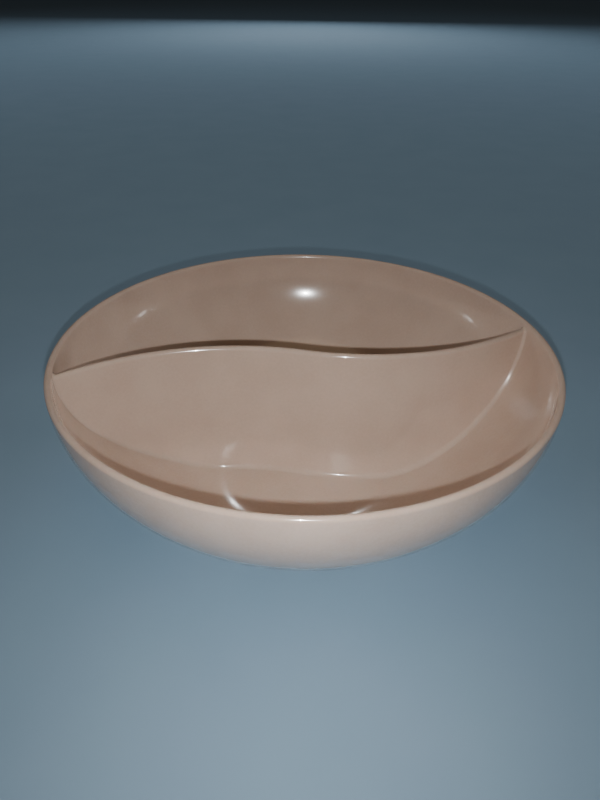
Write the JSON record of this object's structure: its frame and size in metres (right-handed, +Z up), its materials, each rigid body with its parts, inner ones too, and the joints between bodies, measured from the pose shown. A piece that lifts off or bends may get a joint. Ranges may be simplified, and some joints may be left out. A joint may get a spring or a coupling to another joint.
{
  "type": "divided serving bowl",
  "caption": "Round, deep serving bowl with one S-shaped divider that makes an even pair of compartments, on a low foot ring.",
  "frame": {"origin": "on the surface that the bowl stands on, below the middle of the bowl", "axes": "+Z up out of the bowl; +X towards the end of the divider that lies further back, 13.5 degrees off the line between its ends; +Y to the rear compartment"},
  "size_m": [0.254, 0.254, 0.084],
  "materials": {
    "melamine": "high gloss, pale pink-beige, compression moulded"
  },
  "bodies": {
    "root": {"bowl_shell": "melamine", "divider_wall": "melamine", "foot_ring": "melamine"}
  },
  "joints": []
}
